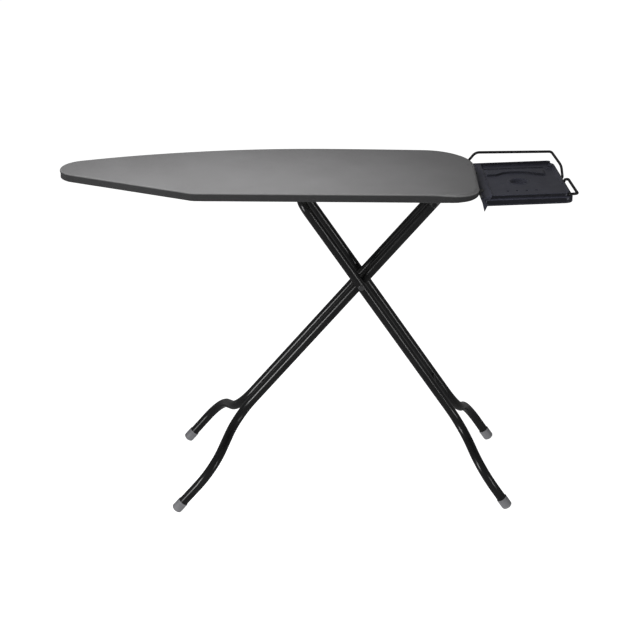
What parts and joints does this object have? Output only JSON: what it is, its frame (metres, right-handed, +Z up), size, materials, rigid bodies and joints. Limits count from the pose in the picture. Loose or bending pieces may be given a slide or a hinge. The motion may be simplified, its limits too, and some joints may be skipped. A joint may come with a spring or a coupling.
{
  "type": "ironing board",
  "caption": "Folding ironing board with padded cover, crossed hairpin tube legs that splay at the feet, plastic foot caps and an iron rest with wire guards.",
  "frame": {"origin": "floor level, middle of the overall length and depth, legs open at working height", "axes": "+Z up, +X from the pointed nose towards the iron rest, +Y across to the far long edge"},
  "size_m": [1.3489, 0.4254, 0.9268],
  "materials": {
    "cover_cloth": "matte woven",
    "pad_foam": "soft foam",
    "underframe_paint": "satin",
    "rail_steel": "satin",
    "leg_paint": "gloss",
    "guard_wire": "semi-gloss",
    "foot_plastic": "matte",
    "rest_plastic": "fine texture",
    "bright_steel": "zinc plated",
    "black_nylon": "matte"
  },
  "bodies": {
    "board": {"cover": "cover_cloth", "foam_pad": "pad_foam", "mesh_top": "underframe_paint", "edge_rim": "underframe_paint", "cross_ribs": "underframe_paint", "slide_rail": "rail_steel", "height_rack": "rail_steel", "rail_stops": "black_nylon", "heel_bracket": "underframe_paint", "bracket_rivets": "bright_steel", "heel_pin": "leg_paint", "rest_arms": "underframe_paint", "arm_saddles": "underframe_paint", "arm_screws": "bright_steel", "arm_plugs": "black_nylon", "iron_rest": "rest_plastic", "back_guard": "guard_wire", "side_guard": "guard_wire"},
    "inner_leg": {"inner_leg": "leg_paint", "inner_brace": "leg_paint", "inner_foot_near": "foot_plastic", "inner_foot_far": "foot_plastic", "pivot_bolt": "bright_steel", "bolt_washers": "bright_steel", "lock_nut": "bright_steel", "centre_spacer": "black_nylon", "side_spacers": "black_nylon"},
    "outer_leg": {"outer_leg": "leg_paint", "outer_brace": "leg_paint", "outer_foot_near": "foot_plastic", "outer_foot_far": "foot_plastic"},
    "slide_block": {"slide_block": "black_nylon", "block_cap": "black_nylon", "block_screws": "bright_steel"},
    "release_lever": {"release_lever": "underframe_paint", "lever_grip": "foot_plastic", "lever_pin": "bright_steel", "lock_pin": "bright_steel"}
  },
  "joints": [
    {"name": "leg_fold", "type": "hinge", "parent": "board", "child": "inner_leg", "pos_m": [0.31044, 0, 0.835], "axis": [0, 1, 0], "range_deg": [0, 48.9]},
    {"name": "cross_pivot", "type": "hinge", "parent": "inner_leg", "child": "outer_leg", "pos_m": [0.1208, 0, 0.611], "axis": [0, 1, 0], "range_deg": [-100.2, 0]},
    {"name": "block_pivot", "type": "hinge", "parent": "outer_leg", "child": "slide_block", "pos_m": [-0.0438, 0, 0.855], "axis": [0, 1, 0], "range_deg": [0, 51.3]},
    {"name": "height_lever", "type": "hinge", "parent": "slide_block", "child": "release_lever", "pos_m": [-0.0708, 0, 0.854], "axis": [0, 1, 0], "range_deg": [0, 12], "stiffness_Nm_per_rad": 0.6, "springref_deg": -20.05}
  ],
  "couplings": [
    {"joint": "cross_pivot", "follows": "leg_fold", "ratio": -2.048},
    {"joint": "block_pivot", "follows": "leg_fold", "ratio": 1.048}
  ]
}
